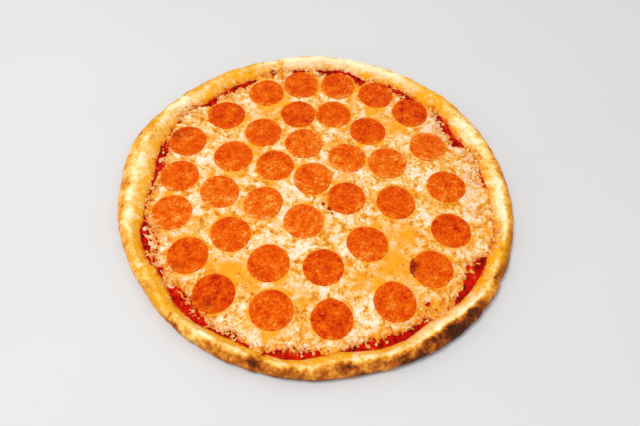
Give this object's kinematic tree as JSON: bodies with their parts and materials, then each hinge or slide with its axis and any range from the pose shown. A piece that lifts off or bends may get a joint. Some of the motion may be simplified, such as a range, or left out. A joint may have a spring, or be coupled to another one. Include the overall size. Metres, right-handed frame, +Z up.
{
  "type": "pepperoni pizza",
  "caption": "Whole uncut round pizza with a raised baked rim, tomato sauce, melted cheese and thin round slices of pepperoni laid in rings.",
  "frame": {"origin": "middle of the underside, at the centre of the crust's outline as seen from above", "axes": "+Z up through the toppings; -Y towards the side that was nearest the viewer"},
  "size_m": [0.398, 0.3862, 0.0188],
  "materials": {
    "crust": "baked bread crust, golden with brown patches, dry and slightly rough",
    "sauce": "wet cooked tomato sauce, slightly lumpy",
    "cheese": "melted and lightly browned mozzarella with orange oil, softly glossy",
    "pepperoni": "oily orange-red cured sausage, mottled with small fat flecks"
  },
  "bodies": {
    "root": {"crust": "crust", "sauce": "sauce", "cheese": "cheese", "pepperoni_01": "pepperoni", "pepperoni_02": "pepperoni", "pepperoni_03": "pepperoni", "pepperoni_04": "pepperoni", "pepperoni_05": "pepperoni", "pepperoni_06": "pepperoni", "pepperoni_07": "pepperoni", "pepperoni_08": "pepperoni", "pepperoni_09": "pepperoni", "pepperoni_10": "pepperoni", "pepperoni_11": "pepperoni", "pepperoni_12": "pepperoni", "pepperoni_13": "pepperoni", "pepperoni_14": "pepperoni", "pepperoni_15": "pepperoni", "pepperoni_16": "pepperoni", "pepperoni_17": "pepperoni", "pepperoni_18": "pepperoni", "pepperoni_19": "pepperoni", "pepperoni_20": "pepperoni", "pepperoni_21": "pepperoni", "pepperoni_22": "pepperoni", "pepperoni_23": "pepperoni", "pepperoni_24": "pepperoni", "pepperoni_25": "pepperoni", "pepperoni_26": "pepperoni", "pepperoni_27": "pepperoni", "pepperoni_28": "pepperoni", "pepperoni_29": "pepperoni", "pepperoni_30": "pepperoni", "pepperoni_31": "pepperoni", "pepperoni_32": "pepperoni", "pepperoni_33": "pepperoni", "pepperoni_34": "pepperoni", "pepperoni_35": "pepperoni", "pepperoni_36": "pepperoni", "pepperoni_37": "pepperoni"}
  },
  "joints": []
}
